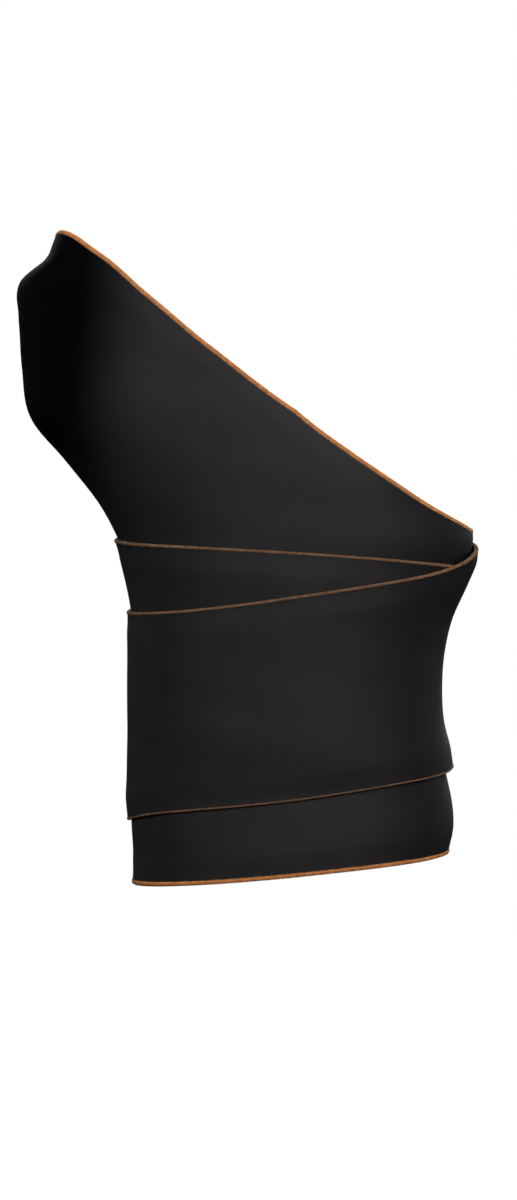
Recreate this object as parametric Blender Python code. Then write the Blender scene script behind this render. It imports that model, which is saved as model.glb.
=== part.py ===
"""Wrist brace in its worn form: a stretch-cloth sleeve and a strap wound twice round its waist.

It stands upright, with its front towards -Y and its thumb hole on the left, towards -X. The
origin is the middle of the waist, where the strap holds it. Units are metres.

Every piece is cloth laid on one inner form. A place on that form is a turn and a height:
turn 0 is the left, 0.25 the front, 0.5 the right and 0.75 the back.
"""

import math

import bmesh
import bpy
import numpy as np

# The hollow of the sleeve at its waist.
WAIST_WIDTH = 0.053
WAIST_DEPTH = 0.038

# The cloth, and how closely its layers lie.
SLEEVE_HEIGHT = 0.125
CLOTH_THICKNESS = 0.001
LAYER_GAP = 0.0003

# The strap, as wide as this at its free end, and the length over which it climbs on to its own start.
STRAP_WIDTH = 0.0425
STRAP_CLIMB = 0.012

# The coloured trim, round the sleeve's cut edges and along the strap's.
SLEEVE_TRIM_DIAMETER = 0.0009
STRAP_TRIM_DIAMETER = 0.0007

# The thumb hole, and the web of cloth left between it and the sleeve's upper edge.
HOLE_WIDTH = 0.025
HOLE_HEIGHT = 0.029
WEB_HEIGHT = 0.0065

# The hook-and-loop tab that closes the strap.
TAB_LENGTH = 0.013
TAB_WIDTH = 0.032
TAB_THICKNESS = 0.0012
TAB_CORNER = 0.004

# The inner form, one row for each section. Heights are shares of SLEEVE_HEIGHT, above the
# origin. Left, right and the crowns, where the front or the back stands furthest out, are x as
# shares of WAIST_WIDTH. Front, back and the left side's depth are y as shares of WAIST_DEPTH.
SECTION_COLUMNS = ("height", "left", "right", "front", "back", "left_depth", "front_crown", "back_crown")
SECTIONS = (
    (-0.300, -0.525, 0.598, -0.516, 0.532, 0.00, 0.03, 0.03),
    (-0.192, -0.527, 0.594, -0.510, 0.526, 0.00, 0.03, 0.03),
    (-0.112, -0.527, 0.556, -0.500, 0.516, 0.00, 0.02, 0.02),
    (-0.040, -0.521, 0.517, -0.492, 0.505, 0.00, 0.01, 0.00),
    (0.040, -0.500, 0.506, -0.490, 0.505, 0.00, 0.01, 0.00),
    (0.128, -0.504, 0.541, -0.500, 0.526, 0.01, 0.02, 0.00),
    (0.192, -0.536, 0.604, -0.516, 0.558, 0.03, 0.03, -0.02),
    (0.248, -0.581, 0.660, -0.526, 0.595, 0.06, 0.04, -0.05),
    (0.304, -0.653, 0.690, -0.526, 0.642, 0.10, 0.04, -0.10),
    (0.368, -0.779, 0.717, -0.516, 0.695, 0.15, 0.04, -0.17),
    (0.432, -0.890, 0.736, -0.495, 0.737, 0.19, 0.04, -0.25),
    (0.512, -0.932, 0.755, -0.463, 0.768, 0.23, 0.03, -0.33),
    (0.592, -0.948, 0.764, -0.432, 0.763, 0.25, 0.02, -0.38),
    (0.640, -0.942, 0.764, -0.411, 0.737, 0.25, 0.01, -0.40),
    (0.680, -0.835, 0.764, -0.395, 0.697, 0.23, 0.00, -0.40),
    (0.720, -0.783, 0.764, -0.379, 0.645, 0.20, 0.00, -0.38),
    (0.780, -0.720, 0.764, -0.358, 0.560, 0.15, 0.00, -0.34),
)
# How much fuller than an ellipse a section is between its four extremes.
FULLNESS_SHARE = 0.045

# The sleeve's upper edge, as a share of SLEEVE_HEIGHT: highest over the web at the left, and
# slanting down across the front and the back.
UPPER_EDGE_COLUMNS = ("turn", "height")
UPPER_EDGE = (
    (0.00, 0.710),
    (0.04, 0.706),
    (0.10, 0.685),
    (0.15, 0.640),
    (0.20, 0.541),
    (0.25, 0.441),
    (0.30, 0.370),
    (0.35, 0.314),
    (0.40, 0.277),
    (0.45, 0.260),
    (0.50, 0.254),
    (0.56, 0.256),
    (0.60, 0.2685),
    (0.64, 0.304),
    (0.68, 0.3545),
    (0.71, 0.4116),
    (0.735, 0.4824),
    (0.75, 0.5337),
    (0.765, 0.5609),
    (0.79, 0.6026),
    (0.82, 0.6426),
    (0.85, 0.6674),
    (0.88, 0.685),
    (0.94, 0.703),
)
# The sleeve's lower edge is one straight cut, lower at the left: its middle, and how far each
# side is from that, as shares of SLEEVE_HEIGHT.
LOWER_EDGE_SHARE = -0.251
LOWER_EDGE_TILT_SHARE = 0.023

# The strap's course over its two turns: its upper edge as a share of SLEEVE_HEIGHT, and its
# width as a share of STRAP_WIDTH.
STRAP_COLUMNS = ("turn", "upper", "width")
STRAP_COURSE = (
    (-0.30, 0.246, 0.69),
    (0.00, 0.242, 0.71),
    (0.25, 0.228, 0.74),
    (0.40, 0.208, 0.76),
    (0.50, 0.196, 0.78),
    (0.75, 0.162, 0.84),
    (1.00, 0.132, 0.90),
    (1.12, 0.137, 0.86),
    (1.25, 0.161, 0.87),
    (1.38, 0.196, 0.89),
    (1.45, 0.224, 0.96),
    (1.50, 0.230, 0.98),
    (1.62, 0.256, 1.00),
    (1.75, 0.262, 1.00),
)
STRAP_END_TURN = 1.60

# Where the thumb hole's middle is, how many of the sleeve's cells it opens each way, how many
# more it draws in, and how many rows of cells are kept for the web over it.
HOLE_TURN = 0.914
HOLE_CELLS = 6
HOLE_REACH_CELLS = 4
WEB_ROWS = 1

# How finely the cloth is gridded. The sleeve's grid begins at the right, far from the thumb hole.
GRID_COLUMNS = 48
SLEEVE_ROWS = 22
SLEEVE_START_TURN = 0.5
STRAP_ROWS = 8
TAB_CELLS = 6

# How far apart the points are that a slope or a pace is measured between, in turns, and how much
# of the strap's climb it needs before it lies fully on its first turn.
SLOPE_STEP = 0.004
PACE_STEP = 0.01
CLIMB_DONE_SHARE = 0.85

CLOTH_BLACK = (0.0125, 0.0118, 0.0122, 1.0)
CLOTH_ROUGHNESS = 0.75
EDGE_ORANGE = (0.56, 0.19, 0.045, 1.0)
EDGE_ROUGHNESS = 0.6
TAB_BLACK = (0.018, 0.018, 0.018, 1.0)
TAB_ROUGHNESS = 0.7


def read_table(rows, columns, wanted, at):
    """A smooth curve through one column of a table, over its first column."""
    table = np.array(rows, float)
    stops = table[:, 0]
    values = table[:, columns.index(wanted)]
    slopes = np.gradient(values, stops)
    at = np.clip(at, stops[0], stops[-1])
    row = np.clip(np.searchsorted(stops, at, side="right") - 1, 0, len(stops) - 2)
    span = stops[row + 1] - stops[row]
    t = (at - stops[row]) / span
    from_row = (2 * t**3 - 3 * t**2 + 1) * values[row] + (t**3 - 2 * t**2 + t) * span * slopes[row]
    to_next = (3 * t**2 - 2 * t**3) * values[row + 1] + (t**3 - t**2) * span * slopes[row + 1]
    return from_row + to_next


def eased(share):
    """A smooth step from 0 to 1."""
    share = np.clip(share, 0, 1)
    return share**2 * (3 - 2 * share)


def form_point(turn, height):
    """The point of the inner form at this turn and height: four quarter ellipses, a little squared."""
    turn, height = np.broadcast_arrays(np.asarray(turn, float), np.asarray(height, float))
    level = height / SLEEVE_HEIGHT
    left, right, front, back, left_depth, front_crown, back_crown = (
        read_table(SECTIONS, SECTION_COLUMNS, name, level) for name in SECTION_COLUMNS[1:]
    )
    angle = 2 * math.pi * turn
    to_right = -np.cos(angle)
    to_back = -np.sin(angle)
    crown = np.where(to_back < 0, front_crown, back_crown)
    side_depth = np.where(to_right < 0, left_depth, 0)
    half_width = np.where(to_right < 0, crown - left, right - crown)
    half_depth = np.where(to_back < 0, side_depth - front, back - side_depth)
    fuller = 1 + FULLNESS_SHARE * np.sin(2 * angle) ** 2
    x = (crown + half_width * to_right * fuller) * WAIST_WIDTH
    y = (side_depth + half_depth * to_back * fuller) * WAIST_DEPTH
    return np.stack([x, y, height], axis=-1)


def form_normal(turn, height):
    """The form's outward direction, from points a little to each side."""
    step_height = SLOPE_STEP * SLEEVE_HEIGHT
    around = form_point(turn + SLOPE_STEP, height) - form_point(turn - SLOPE_STEP, height)
    up = form_point(turn, height + step_height) - form_point(turn, height - step_height)
    normal = np.cross(around, up)
    return normal / np.linalg.norm(normal, axis=-1, keepdims=True)


def on_form(turn, height, lift):
    """The point this far outside the form."""
    return form_point(turn, height) + form_normal(turn, height) * np.asarray(lift)[..., None]


def turn_length(turn, height):
    """Metres of cloth to a whole turn, at the pace it has here."""
    before, after = form_point(np.array([turn - PACE_STEP, turn + PACE_STEP]), height)
    return float(np.linalg.norm(after - before)) / (2 * PACE_STEP)


def upper_edge(turn):
    """The height of the sleeve's upper edge, a loop, so the table is continued past both ends."""
    before = tuple((row_turn - 1, height) for row_turn, height in UPPER_EDGE[-3:])
    after = tuple((row_turn + 1, height) for row_turn, height in UPPER_EDGE[:3])
    rows = before + UPPER_EDGE + after
    return read_table(rows, UPPER_EDGE_COLUMNS, "height", np.mod(turn, 1)) * SLEEVE_HEIGHT


def lower_edge(turn):
    """The height of the sleeve's lower edge."""
    return (LOWER_EDGE_SHARE - LOWER_EDGE_TILT_SHARE * np.cos(2 * math.pi * turn)) * SLEEVE_HEIGHT


def strap_edges(turn):
    """The heights of the strap's lower and upper edge."""
    upper = read_table(STRAP_COURSE, STRAP_COLUMNS, "upper", turn) * SLEEVE_HEIGHT
    width = read_table(STRAP_COURSE, STRAP_COLUMNS, "width", turn) * STRAP_WIDTH
    return upper - width, upper


# The tab continues the strap. The strap is sewn on just past the tab, so that the tab lies on
# one flat turn of it.
LAYER_STEP = CLOTH_THICKNESS + LAYER_GAP
TAB_MIDDLE_HEIGHT = float(np.mean(strap_edges(STRAP_END_TURN)))
TURN_LENGTH_AT_TAB = turn_length(STRAP_END_TURN, TAB_MIDDLE_HEIGHT)
TAB_START_TURN = STRAP_END_TURN + LAYER_GAP / TURN_LENGTH_AT_TAB
TAB_END_TURN = TAB_START_TURN + TAB_LENGTH / TURN_LENGTH_AT_TAB
CLIMB_TURNS = STRAP_CLIMB / TURN_LENGTH_AT_TAB
STRAP_START_TURN = TAB_END_TURN + CLIMB_TURNS - 2


def strap_lift(turn, height):
    """How far outside the form the strap's inner face lies, on the sleeve or on its first turn."""
    under = turn - 1
    low, high = strap_edges(under)
    trim_room = STRAP_TRIM_DIAMETER + 2 * LAYER_GAP
    slope_length = STRAP_CLIMB / 2
    above_low = eased((height - low + trim_room + slope_length) / slope_length)
    below_high = eased((high + trim_room + slope_length - height) / slope_length)
    past_start = eased((under - STRAP_START_TURN + CLIMB_TURNS) / (CLIMB_DONE_SHARE * CLIMB_TURNS))
    return LAYER_STEP * (1 + above_low * below_high * past_start)


def cloth_material(name, colour, roughness):
    """A plain matte material."""
    material = bpy.data.materials.new(name)
    material.use_nodes = True
    shader = material.node_tree.nodes["Principled BSDF"]
    shader.inputs["Base Color"].default_value = colour
    shader.inputs["Roughness"].default_value = roughness
    shader.inputs["Metallic"].default_value = 0.0
    return material


def laid_sheet(name, columns, rows, place, thickness, material, opened=()):
    """A grid of cloth laid by place(across, up) and thickened outwards, without the cells in opened."""
    bm = bmesh.new()
    bmesh.ops.create_grid(bm, x_segments=columns, y_segments=rows, size=0.5)
    shares = np.array([vert.co[:2] for vert in bm.verts]) + 0.5
    holes = set(opened)
    left_out = []
    for face in bm.faces:
        middle = np.mean([shares[vert.index] for vert in face.verts], axis=0)
        if (int(middle[0] * columns), int(middle[1] * rows)) in holes:
            left_out.append(face)
    for vert, point in zip(bm.verts, place(shares[:, 0], shares[:, 1])):
        vert.co = point
    bmesh.ops.delete(bm, geom=left_out, context="FACES")
    bmesh.ops.remove_doubles(bm, verts=bm.verts, dist=0.02 * CLOTH_THICKNESS)
    mesh = bpy.data.meshes.new(name)
    bm.to_mesh(mesh)
    bm.free()
    mesh.shade_smooth()
    mesh.materials.append(material)
    sheet = bpy.data.objects.new(name, mesh)
    bpy.context.scene.collection.objects.link(sheet)
    thicken = sheet.modifiers.new("thickness", "SOLIDIFY")
    thicken.thickness = thickness
    thicken.offset = 1
    thicken.use_even_offset = True
    return sheet


def hole_middle_height():
    """The height of the thumb hole's middle."""
    return upper_edge(HOLE_TURN) - WEB_HEIGHT - HOLE_HEIGHT / 2


def hole_cell():
    """The column and row of the grid that the thumb hole is opened round, and its exact row."""
    low, high = lower_edge(HOLE_TURN), upper_edge(HOLE_TURN)
    middle_column = round((HOLE_TURN - SLEEVE_START_TURN) * GRID_COLUMNS)
    middle_row = SLEEVE_ROWS - WEB_ROWS - HOLE_CELLS // 2
    exact_row = (hole_middle_height() - low) / (high - low) * SLEEVE_ROWS
    return middle_column, middle_row, exact_row


def drawn_round_hole(column, row):
    """Where a point of the sleeve's grid goes, so that the opened square of cells becomes an oval."""
    middle_column, middle_row, exact_row = hole_cell()
    half = HOLE_CELLS / 2
    a = (column - middle_column) / half
    b = (row - middle_row) / half
    ring = np.maximum(np.maximum(np.abs(a), np.abs(b)), 0.5)
    edge_a, edge_b = a / ring, b / ring
    cell_width = turn_length(HOLE_TURN, hole_middle_height()) / GRID_COLUMNS
    cell_height = (upper_edge(HOLE_TURN) - lower_edge(HOLE_TURN)) / SLEEVE_ROWS
    oval_column = edge_a * np.sqrt(1 - edge_b**2 / 2) * HOLE_WIDTH / 2 / cell_width
    oval_row = edge_b * np.sqrt(1 - edge_a**2 / 2) * HOLE_HEIGHT / 2 / cell_height
    exact_column = (HOLE_TURN - SLEEVE_START_TURN) * GRID_COLUMNS
    pull_column = oval_column + exact_column - middle_column - edge_a * half
    pull_row = oval_row + exact_row - middle_row - edge_b * half
    fading = 1 - eased((ring - 1) * half / HOLE_REACH_CELLS)
    rows_above = SLEEVE_ROWS - middle_row - half
    below_edge = 1 - eased((row - middle_row - half) / rows_above)
    return column + pull_column * fading * below_edge, row + pull_row * fading * below_edge


def make_sleeve(material):
    """The sleeve, a closed tube whose grid meets itself at the right, with its thumb hole."""

    def place(across, up):
        column, row = drawn_round_hole(across * GRID_COLUMNS, up * SLEEVE_ROWS)
        turn = SLEEVE_START_TURN + column / GRID_COLUMNS
        low, high = lower_edge(turn), upper_edge(turn)
        return on_form(turn, low + (high - low) * row / SLEEVE_ROWS, np.zeros_like(turn))

    middle_column, middle_row, _ = hole_cell()
    half = HOLE_CELLS // 2
    opened = [(middle_column + a, middle_row + b) for a in range(-half, half) for b in range(-half, half)]
    laid_sheet("sleeve", GRID_COLUMNS, SLEEVE_ROWS, place, CLOTH_THICKNESS, material, opened)


def strap_turns():
    """The turns at which the strap and its trim have a point."""
    columns = round((STRAP_END_TURN - STRAP_START_TURN) * GRID_COLUMNS)
    return np.linspace(STRAP_START_TURN, STRAP_END_TURN, columns + 1)


def make_wrist_strap(material):
    """The strap, sewn on at the back and wound nearly twice round, its second turn over the first."""

    def place(across, up):
        turn = STRAP_START_TURN + (STRAP_END_TURN - STRAP_START_TURN) * across
        low, high = strap_edges(turn)
        height = low + (high - low) * up
        return on_form(turn, height, strap_lift(turn, height))

    laid_sheet("wrist_strap", len(strap_turns()) - 1, STRAP_ROWS, place, CLOTH_THICKNESS, material)


def make_closing_tab(material):
    """The tab past the strap's end, with two rounded corners."""

    def place(across, up):
        turn = TAB_START_TURN + (TAB_END_TURN - TAB_START_TURN) * across
        into_corner = np.clip(across * TAB_LENGTH - (TAB_LENGTH - TAB_CORNER), 0, TAB_CORNER)
        drawn_in = TAB_CORNER - np.sqrt(TAB_CORNER**2 - into_corner**2)
        height = TAB_MIDDLE_HEIGHT + (up - 0.5) * (TAB_WIDTH - 2 * drawn_in)
        return on_form(turn, height, strap_lift(turn, height))

    laid_sheet("closing_tab", TAB_CELLS, TAB_CELLS, place, TAB_THICKNESS, material)


def edge_trim(name, turns, heights, lift, side, diameter, material, closed):
    """A round trim just clear of a cloth edge, level with its middle. Side is 1 above, -1 below."""
    edge = on_form(turns, heights, lift + CLOTH_THICKNESS / 2)
    if closed:
        along = np.roll(edge, -1, axis=0) - np.roll(edge, 1, axis=0)
    else:
        along = np.gradient(edge, axis=0)
    out_of_edge = np.cross(form_normal(turns, heights), along)
    out_of_edge /= np.linalg.norm(out_of_edge, axis=1, keepdims=True)
    path = edge + side * (LAYER_GAP + diameter / 2) * out_of_edge
    curve = bpy.data.curves.new(name, "CURVE")
    curve.dimensions = "3D"
    curve.bevel_depth = diameter / 2
    curve.bevel_resolution = 1
    curve.use_fill_caps = True
    spline = curve.splines.new("POLY")
    spline.points.add(len(path) - 1)
    spline.points.foreach_set("co", np.column_stack([path, np.ones(len(path))]).ravel())
    spline.use_cyclic_u = closed
    curve.materials.append(material)
    trim = bpy.data.objects.new(name, curve)
    bpy.context.scene.collection.objects.link(trim)


def make_trims(material):
    """The coloured trim: round the sleeve's two ends, and along the strap's two long edges."""
    round_turns = np.arange(GRID_COLUMNS) / GRID_COLUMNS
    on_sleeve = np.zeros(GRID_COLUMNS)
    wide, narrow = SLEEVE_TRIM_DIAMETER, STRAP_TRIM_DIAMETER
    edge_trim("upper_edge_trim", round_turns, upper_edge(round_turns), on_sleeve, 1, wide, material, True)
    edge_trim("lower_edge_trim", round_turns, lower_edge(round_turns), on_sleeve, -1, wide, material, True)
    turns = strap_turns()
    low, high = strap_edges(turns)
    edge_trim("strap_upper_trim", turns, high, strap_lift(turns, high), 1, narrow, material, False)
    edge_trim("strap_lower_trim", turns, low, strap_lift(turns, low), -1, narrow, material, False)


def main():
    """Clears the scene and builds the seven pieces."""
    for thing in list(bpy.data.objects):
        bpy.data.objects.remove(thing)
    cloth = cloth_material("black stretch cloth", CLOTH_BLACK, CLOTH_ROUGHNESS)
    edging = cloth_material("orange edging", EDGE_ORANGE, EDGE_ROUGHNESS)
    hook_tape = cloth_material("black hook tape", TAB_BLACK, TAB_ROUGHNESS)
    make_sleeve(cloth)
    make_wrist_strap(cloth)
    make_closing_tab(hook_tape)
    make_trims(edging)


main()
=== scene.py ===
# %% [markdown]
# A wrist brace of this kind is a sleeve of thin stretch cloth with a long strap of the same cloth. The
# strap is sewn on at the back, wound twice round the waist and closed with a tab of hook tape, and every
# long edge is overcast with orange thread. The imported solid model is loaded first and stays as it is.
# Each piece of this scene is finer cloth in the same place, so all sizes are in metres and nothing is
# moved afterwards.

import math

import bpy
import numpy as np
from mathutils import Matrix, Vector


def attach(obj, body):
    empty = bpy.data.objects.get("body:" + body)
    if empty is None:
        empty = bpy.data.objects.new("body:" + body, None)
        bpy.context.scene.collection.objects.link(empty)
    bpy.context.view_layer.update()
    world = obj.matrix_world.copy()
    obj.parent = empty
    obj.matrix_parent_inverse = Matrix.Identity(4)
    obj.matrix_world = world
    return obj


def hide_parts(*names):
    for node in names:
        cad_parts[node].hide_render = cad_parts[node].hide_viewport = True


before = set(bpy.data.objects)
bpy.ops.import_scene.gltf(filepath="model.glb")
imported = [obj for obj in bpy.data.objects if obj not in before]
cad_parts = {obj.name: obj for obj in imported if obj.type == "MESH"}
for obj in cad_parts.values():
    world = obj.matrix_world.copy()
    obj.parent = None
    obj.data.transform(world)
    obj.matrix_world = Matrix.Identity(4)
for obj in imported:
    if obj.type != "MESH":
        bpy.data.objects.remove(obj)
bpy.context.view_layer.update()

# %% [markdown]
# Worn stretch cloth lies in one smooth form: here an oval waist that flares on the left, where the thumb
# hole is. A cloth simulation would need that form as a solid to fall on, and stretch cloth hardly folds
# on it, so the form itself is written down as a short table of cross sections, and the cloth is laid on
# it.

# %% The form's cross sections
WAIST_WIDTH = 0.053
WAIST_DEPTH = 0.038
SLEEVE_HEIGHT = 0.125

# Heights are shares of SLEEVE_HEIGHT. Left, right and crowns are shares of WAIST_WIDTH, the rest of
# WAIST_DEPTH.
SECTION_COLUMNS = ("height", "left", "right", "front", "back", "left_depth", "front_crown", "back_crown")
SECTIONS = (
    (-0.300, -0.5455, 0.564, -0.516, 0.532, 0.00, 0.03, 0.03),
    (-0.238, -0.530, 0.585, -0.513, 0.529, 0.00, 0.03, 0.03),
    (-0.192, -0.536, 0.598, -0.510, 0.526, 0.00, 0.03, 0.03),
    (-0.112, -0.531, 0.569, -0.500, 0.516, 0.00, 0.02, 0.02),
    (-0.040, -0.512, 0.524, -0.492, 0.505, 0.00, 0.01, 0.00),
    (0.040, -0.510, 0.516, -0.490, 0.505, 0.00, 0.01, 0.00),
    (0.128, -0.514, 0.550, -0.500, 0.526, 0.01, 0.02, 0.00),
    (0.192, -0.541, 0.615, -0.516, 0.558, 0.03, 0.03, -0.02),
    (0.248, -0.583, 0.672, -0.526, 0.595, 0.06, 0.04, -0.05),
    (0.304, -0.655, 0.645, -0.526, 0.642, 0.10, 0.04, -0.10),
    (0.368, -0.774, 0.680, -0.516, 0.695, 0.15, 0.04, -0.17),
    (0.432, -0.901, 0.712, -0.495, 0.737, 0.19, 0.04, -0.25),
    (0.512, -0.938, 0.745, -0.463, 0.768, 0.23, 0.03, -0.33),
    (0.592, -0.947, 0.764, -0.432, 0.763, 0.25, 0.02, -0.38),
    (0.640, -0.942, 0.764, -0.411, 0.737, 0.25, 0.01, -0.40),
    (0.680, -0.878, 0.764, -0.395, 0.697, 0.23, 0.00, -0.40),
    (0.720, -0.810, 0.764, -0.379, 0.645, 0.20, 0.00, -0.38),
    (0.780, -0.740, 0.764, -0.358, 0.560, 0.15, 0.00, -0.34),
)
FULLNESS_SHARE = 0.045

# The cloth is pinched in at the far left, over the thumb hole: how far, in metres, at shares of
# SLEEVE_HEIGHT.
WEB_CREASE_COLUMNS = ("height", "inwards")
WEB_CREASE = (
    (0.560, 0.00000),
    (0.600, -0.00022),
    (0.625, -0.00034),
    (0.642, -0.00005),
    (0.654, 0.00074),
    (0.666, 0.00175),
    (0.677, 0.00255),
    (0.690, 0.00145),
    (0.706, 0.00045),
    (0.730, -0.00030),
)
WEB_CREASE_TURNS = 0.09


def read_table(rows, columns, wanted, at):
    """A smooth curve through one column of a table, over its first column."""
    table = np.array(rows, float)
    stops, values = table[:, 0], table[:, columns.index(wanted)]
    slopes = np.gradient(values, stops)
    at = np.clip(at, stops[0], stops[-1])
    row = np.clip(np.searchsorted(stops, at, side="right") - 1, 0, len(stops) - 2)
    span = stops[row + 1] - stops[row]
    t = (at - stops[row]) / span
    from_row = (2 * t**3 - 3 * t**2 + 1) * values[row] + (t**3 - 2 * t**2 + t) * span * slopes[row]
    to_next = (3 * t**2 - 2 * t**3) * values[row + 1] + (t**3 - t**2) * span * slopes[row + 1]
    return from_row + to_next


print("cross sections:", len(SECTIONS))

# %% [markdown]
# A place on the cloth is a turn and a height: turn 0 is the left, 0.25 the front, 0.5 the right and 0.75
# the back. Each section is four quarter ellipses that share their ends, which gives an oval with no
# corner. Real cloth is never perfectly even, so a ripple of a few hundredths of a millimetre is added to
# the form, under every layer alike.

# %% Points on the form
RIPPLE_DEPTH = 0.00004
RIPPLE_WAVES = ((9, 34, 0), (5, -61, 1))  # waves in a turn, waves in a metre, and a shift in radians
NORMAL_TURN_STEP, NORMAL_HEIGHT_STEP = 0.004, 0.0005


def form_point(turn, height):
    """The point of the inner form at this turn and height."""
    turn, height = np.broadcast_arrays(np.asarray(turn, float), np.asarray(height, float))
    left, right, front, back, left_depth, front_crown, back_crown = (
        read_table(SECTIONS, SECTION_COLUMNS, name, height / SLEEVE_HEIGHT) for name in SECTION_COLUMNS[1:]
    )
    angle = 2 * math.pi * turn
    to_right, to_back = -np.cos(angle), -np.sin(angle)
    crown = np.where(to_back < 0, front_crown, back_crown)
    side_depth = np.where(to_right < 0, left_depth, 0)
    half_width = np.where(to_right < 0, crown - left, right - crown)
    half_depth = np.where(to_back < 0, side_depth - front, back - side_depth)
    fuller = 1 + FULLNESS_SHARE * np.sin(2 * angle) ** 2
    x = (crown + half_width * to_right * fuller) * WAIST_WIDTH
    y = (side_depth + half_depth * to_back * fuller) * WAIST_DEPTH
    from_left = np.abs(np.mod(turn + 0.5, 1) - 0.5) / WEB_CREASE_TURNS
    crease = read_table(WEB_CREASE, WEB_CREASE_COLUMNS, "inwards", height / SLEEVE_HEIGHT)
    x = x + crease * np.clip(1 - from_left**2, 0, 1) ** 2
    return np.stack([x, y, height], axis=-1)


def form_normal(turn, height):
    """The form's outward direction, from points a little to each side."""
    around = form_point(turn + NORMAL_TURN_STEP, height) - form_point(turn - NORMAL_TURN_STEP, height)
    up = form_point(turn, height + NORMAL_HEIGHT_STEP) - form_point(turn, height - NORMAL_HEIGHT_STEP)
    normal = np.cross(around, up)
    return normal / np.linalg.norm(normal, axis=-1, keepdims=True)


def on_form(turn, height, lift):
    """The point this far outside the form, with the ripple of real cloth."""
    turn, height = np.asarray(turn, float), np.asarray(height, float)
    wave = math.prod(
        np.sin(2 * math.pi * (in_a_turn * turn + in_a_metre * height) + shift)
        for in_a_turn, in_a_metre, shift in RIPPLE_WAVES
    )
    return form_point(turn, height) + form_normal(turn, height) * (lift + RIPPLE_DEPTH * wave)[..., None]


waist = np.linalg.norm(np.diff(form_point(np.linspace(0, 1, 400), 0.0), axis=0), axis=1).sum()
print("round the waist:", round(waist * 1000, 1), "mm")

# %% [markdown]
# The sleeve is cut on a slant at the top, from the narrow web of cloth over the thumb hole down to the
# right, and almost straight at the bottom. Both edges are heights for each turn: the front's are read
# from the photograph, and the back's follow one smooth line, with more rows near turn 0.75, where the
# quarter ellipses meet at unequal pace.

# %% The sleeve's two edges
UPPER_EDGE_COLUMNS = ("turn", "height")
UPPER_EDGE = (
    (0.00, 0.714),
    (0.04, 0.718),
    (0.10, 0.699),
    (0.15, 0.651),
    (0.20, 0.548),
    (0.25, 0.447),
    (0.30, 0.3815),
    (0.35, 0.331),
    (0.40, 0.292),
    (0.45, 0.268),
    (0.50, 0.260),
    (0.56, 0.262),
    (0.60, 0.2745),
    (0.64, 0.310),
    (0.68, 0.3605),
    (0.71, 0.4176),
    (0.735, 0.4884),
    (0.75, 0.5397),
    (0.765, 0.5669),
    (0.79, 0.6086),
    (0.82, 0.6486),
    (0.85, 0.6734),
    (0.88, 0.691),
    (0.94, 0.706),
)
LOWER_EDGE_SHARE = -0.257
LOWER_EDGE_TILT_SHARE = 0.024


def upper_edge(turn):
    """The height of the sleeve's upper edge, a loop, so the table is continued past both ends."""
    before = tuple((row_turn - 1, height) for row_turn, height in UPPER_EDGE[-3:])
    after = tuple((row_turn + 1, height) for row_turn, height in UPPER_EDGE[:3])
    rows = before + UPPER_EDGE + after
    return read_table(rows, UPPER_EDGE_COLUMNS, "height", np.mod(turn, 1)) * SLEEVE_HEIGHT


def lower_edge(turn):
    """The height of the sleeve's lower edge, a straight cut that is lower at the left."""
    return (LOWER_EDGE_SHARE - LOWER_EDGE_TILT_SHARE * np.cos(2 * math.pi * turn)) * SLEEVE_HEIGHT


left_top, right_top = (round(float(upper_edge(turn)) * 1000, 1) for turn in (0, 0.5))
print("upper edge:", left_top, "mm at the left,", right_top, "mm at the right")

# %% [markdown]
# The strap starts at the back, goes once round, and lies on its own first turn the second time. What
# decides how it looks is how high each layer stands. A layer of cloth is 1 mm thick. Below the inner turn
# the outer one sinks back on to the sleeve over a long, soft slope, because pulled cloth bridges a step.
# Above it, at the right, the outer turn's edge is drawn tight on the sleeve.

# %% The strap's course
STRAP_WIDTH = 0.0425
STRAP_COLUMNS = ("turn", "upper", "width")
STRAP_COURSE = (
    (-0.30, 0.254, 0.72),
    (0.00, 0.250, 0.74),
    (0.25, 0.234, 0.77),
    (0.40, 0.216, 0.79),
    (0.50, 0.206, 0.81),
    (0.75, 0.172, 0.88),
    (1.00, 0.138, 0.948),
    (1.12, 0.143, 0.903),
    (1.25, 0.168, 0.913),
    (1.38, 0.203, 0.943),
    (1.45, 0.229, 1.000),
    (1.50, 0.238, 1.015),
    (1.62, 0.247, 1.03),
    (1.75, 0.251, 1.03),
)
STRAP_START_TURN = -0.2234
STRAP_END_TURN = 1.60
CLOTH_THICKNESS = 0.001
LAYER_STEP = 0.0011
CLIMB_TURNS, CLIMB_DONE_SHARE = 0.084, 0.85
SINKING_BELOW, SINKING_ABOVE, EDGE_MARGIN = 0.015, 0.0045, 0.001


def eased(share):
    """A smooth step from 0 to 1."""
    share = np.clip(share, 0, 1)
    return share**2 * (3 - 2 * share)


def strap_edges(turn):
    """The heights of the strap's lower and upper edge."""
    upper = read_table(STRAP_COURSE, STRAP_COLUMNS, "upper", turn) * SLEEVE_HEIGHT
    return upper - read_table(STRAP_COURSE, STRAP_COLUMNS, "width", turn) * STRAP_WIDTH, upper


def strap_lift(turn, height):
    """How far outside the form the strap's inner face lies, on the sleeve or on its own first turn."""
    low, high = strap_edges(turn - 1)
    above_low = eased((height - low + EDGE_MARGIN) / SINKING_BELOW + 1)
    below_high = eased((high + EDGE_MARGIN - height) / SINKING_ABOVE + 1)
    past_start = eased((turn - 1 - STRAP_START_TURN + CLIMB_TURNS) / (CLIMB_DONE_SHARE * CLIMB_TURNS))
    return LAYER_STEP * (1 + above_low * below_high * past_start)


low, high = strap_edges(1.25)
print("outer turn at the front:", round(float(low) * 1000, 1), "to", round(float(high) * 1000, 1), "mm")

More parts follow.
